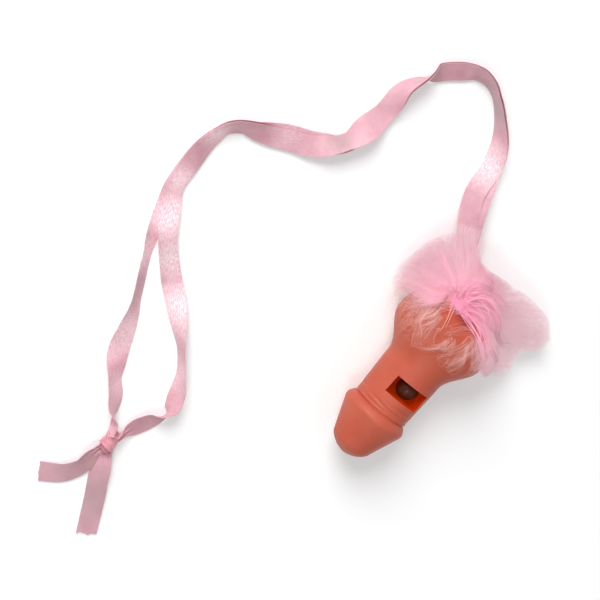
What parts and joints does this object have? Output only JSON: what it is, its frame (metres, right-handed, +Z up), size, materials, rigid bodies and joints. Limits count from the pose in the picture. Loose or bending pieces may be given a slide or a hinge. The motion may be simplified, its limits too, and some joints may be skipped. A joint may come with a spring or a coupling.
{
  "type": "novelty whistle",
  "caption": "Adult party novelty pea whistle: a moulded plastic body with a collared bulb mouthpiece, a sound window and twin rear lobes, a feather tuft and a satin ribbon neck loop.",
  "frame": {"origin": "on the resting surface, straight under the middle of the lanyard eyelet at the rear end", "axes": "+X along the body towards the mouthpiece, +Y to the right as seen from the mouthpiece end with +Z up, +Z up out of the sound window"},
  "size_m": [0.2062, 0.1432, 0.0276],
  "materials": {
    "body_plastic": "satin gloss moulded plastic, coral",
    "inner_plastic": "gloss moulded plastic, orange red",
    "pea_cork": "brown lacquered cork ball",
    "glue": "set hot glue, off white",
    "feather": "fluffy dyed down, pink",
    "thread": "sewing thread, pink",
    "ribbon": "satin ribbon, pale pink"
  },
  "bodies": {
    "whistle": {"upper_shell": "body_plastic", "lower_shell": "body_plastic", "windway_block": "inner_plastic", "chamber_tub": "inner_plastic", "glue_bead": "glue", "quill_bundle": "feather", "thread_winding": "thread", "plume_left": "feather", "plume_rear_left": "feather", "plume_rear": "feather", "plume_rear_right": "feather", "plume_right": "feather", "plume_front_right": "feather", "plume_front": "feather", "plume_front_left": "feather", "ribbon_bight": "ribbon", "ribbon_leg_a": "ribbon", "ribbon_leg_b": "ribbon", "ribbon_knot": "ribbon", "ribbon_tail_left": "ribbon", "ribbon_tail_right": "ribbon"},
    "pea": {"pea": "pea_cork"}
  },
  "joints": [
    {"name": "pea_travel", "type": "slide", "parent": "whistle", "child": "pea", "axis": [1, 0, 0], "range_m": [-0.0119, 0.0004]}
  ]
}
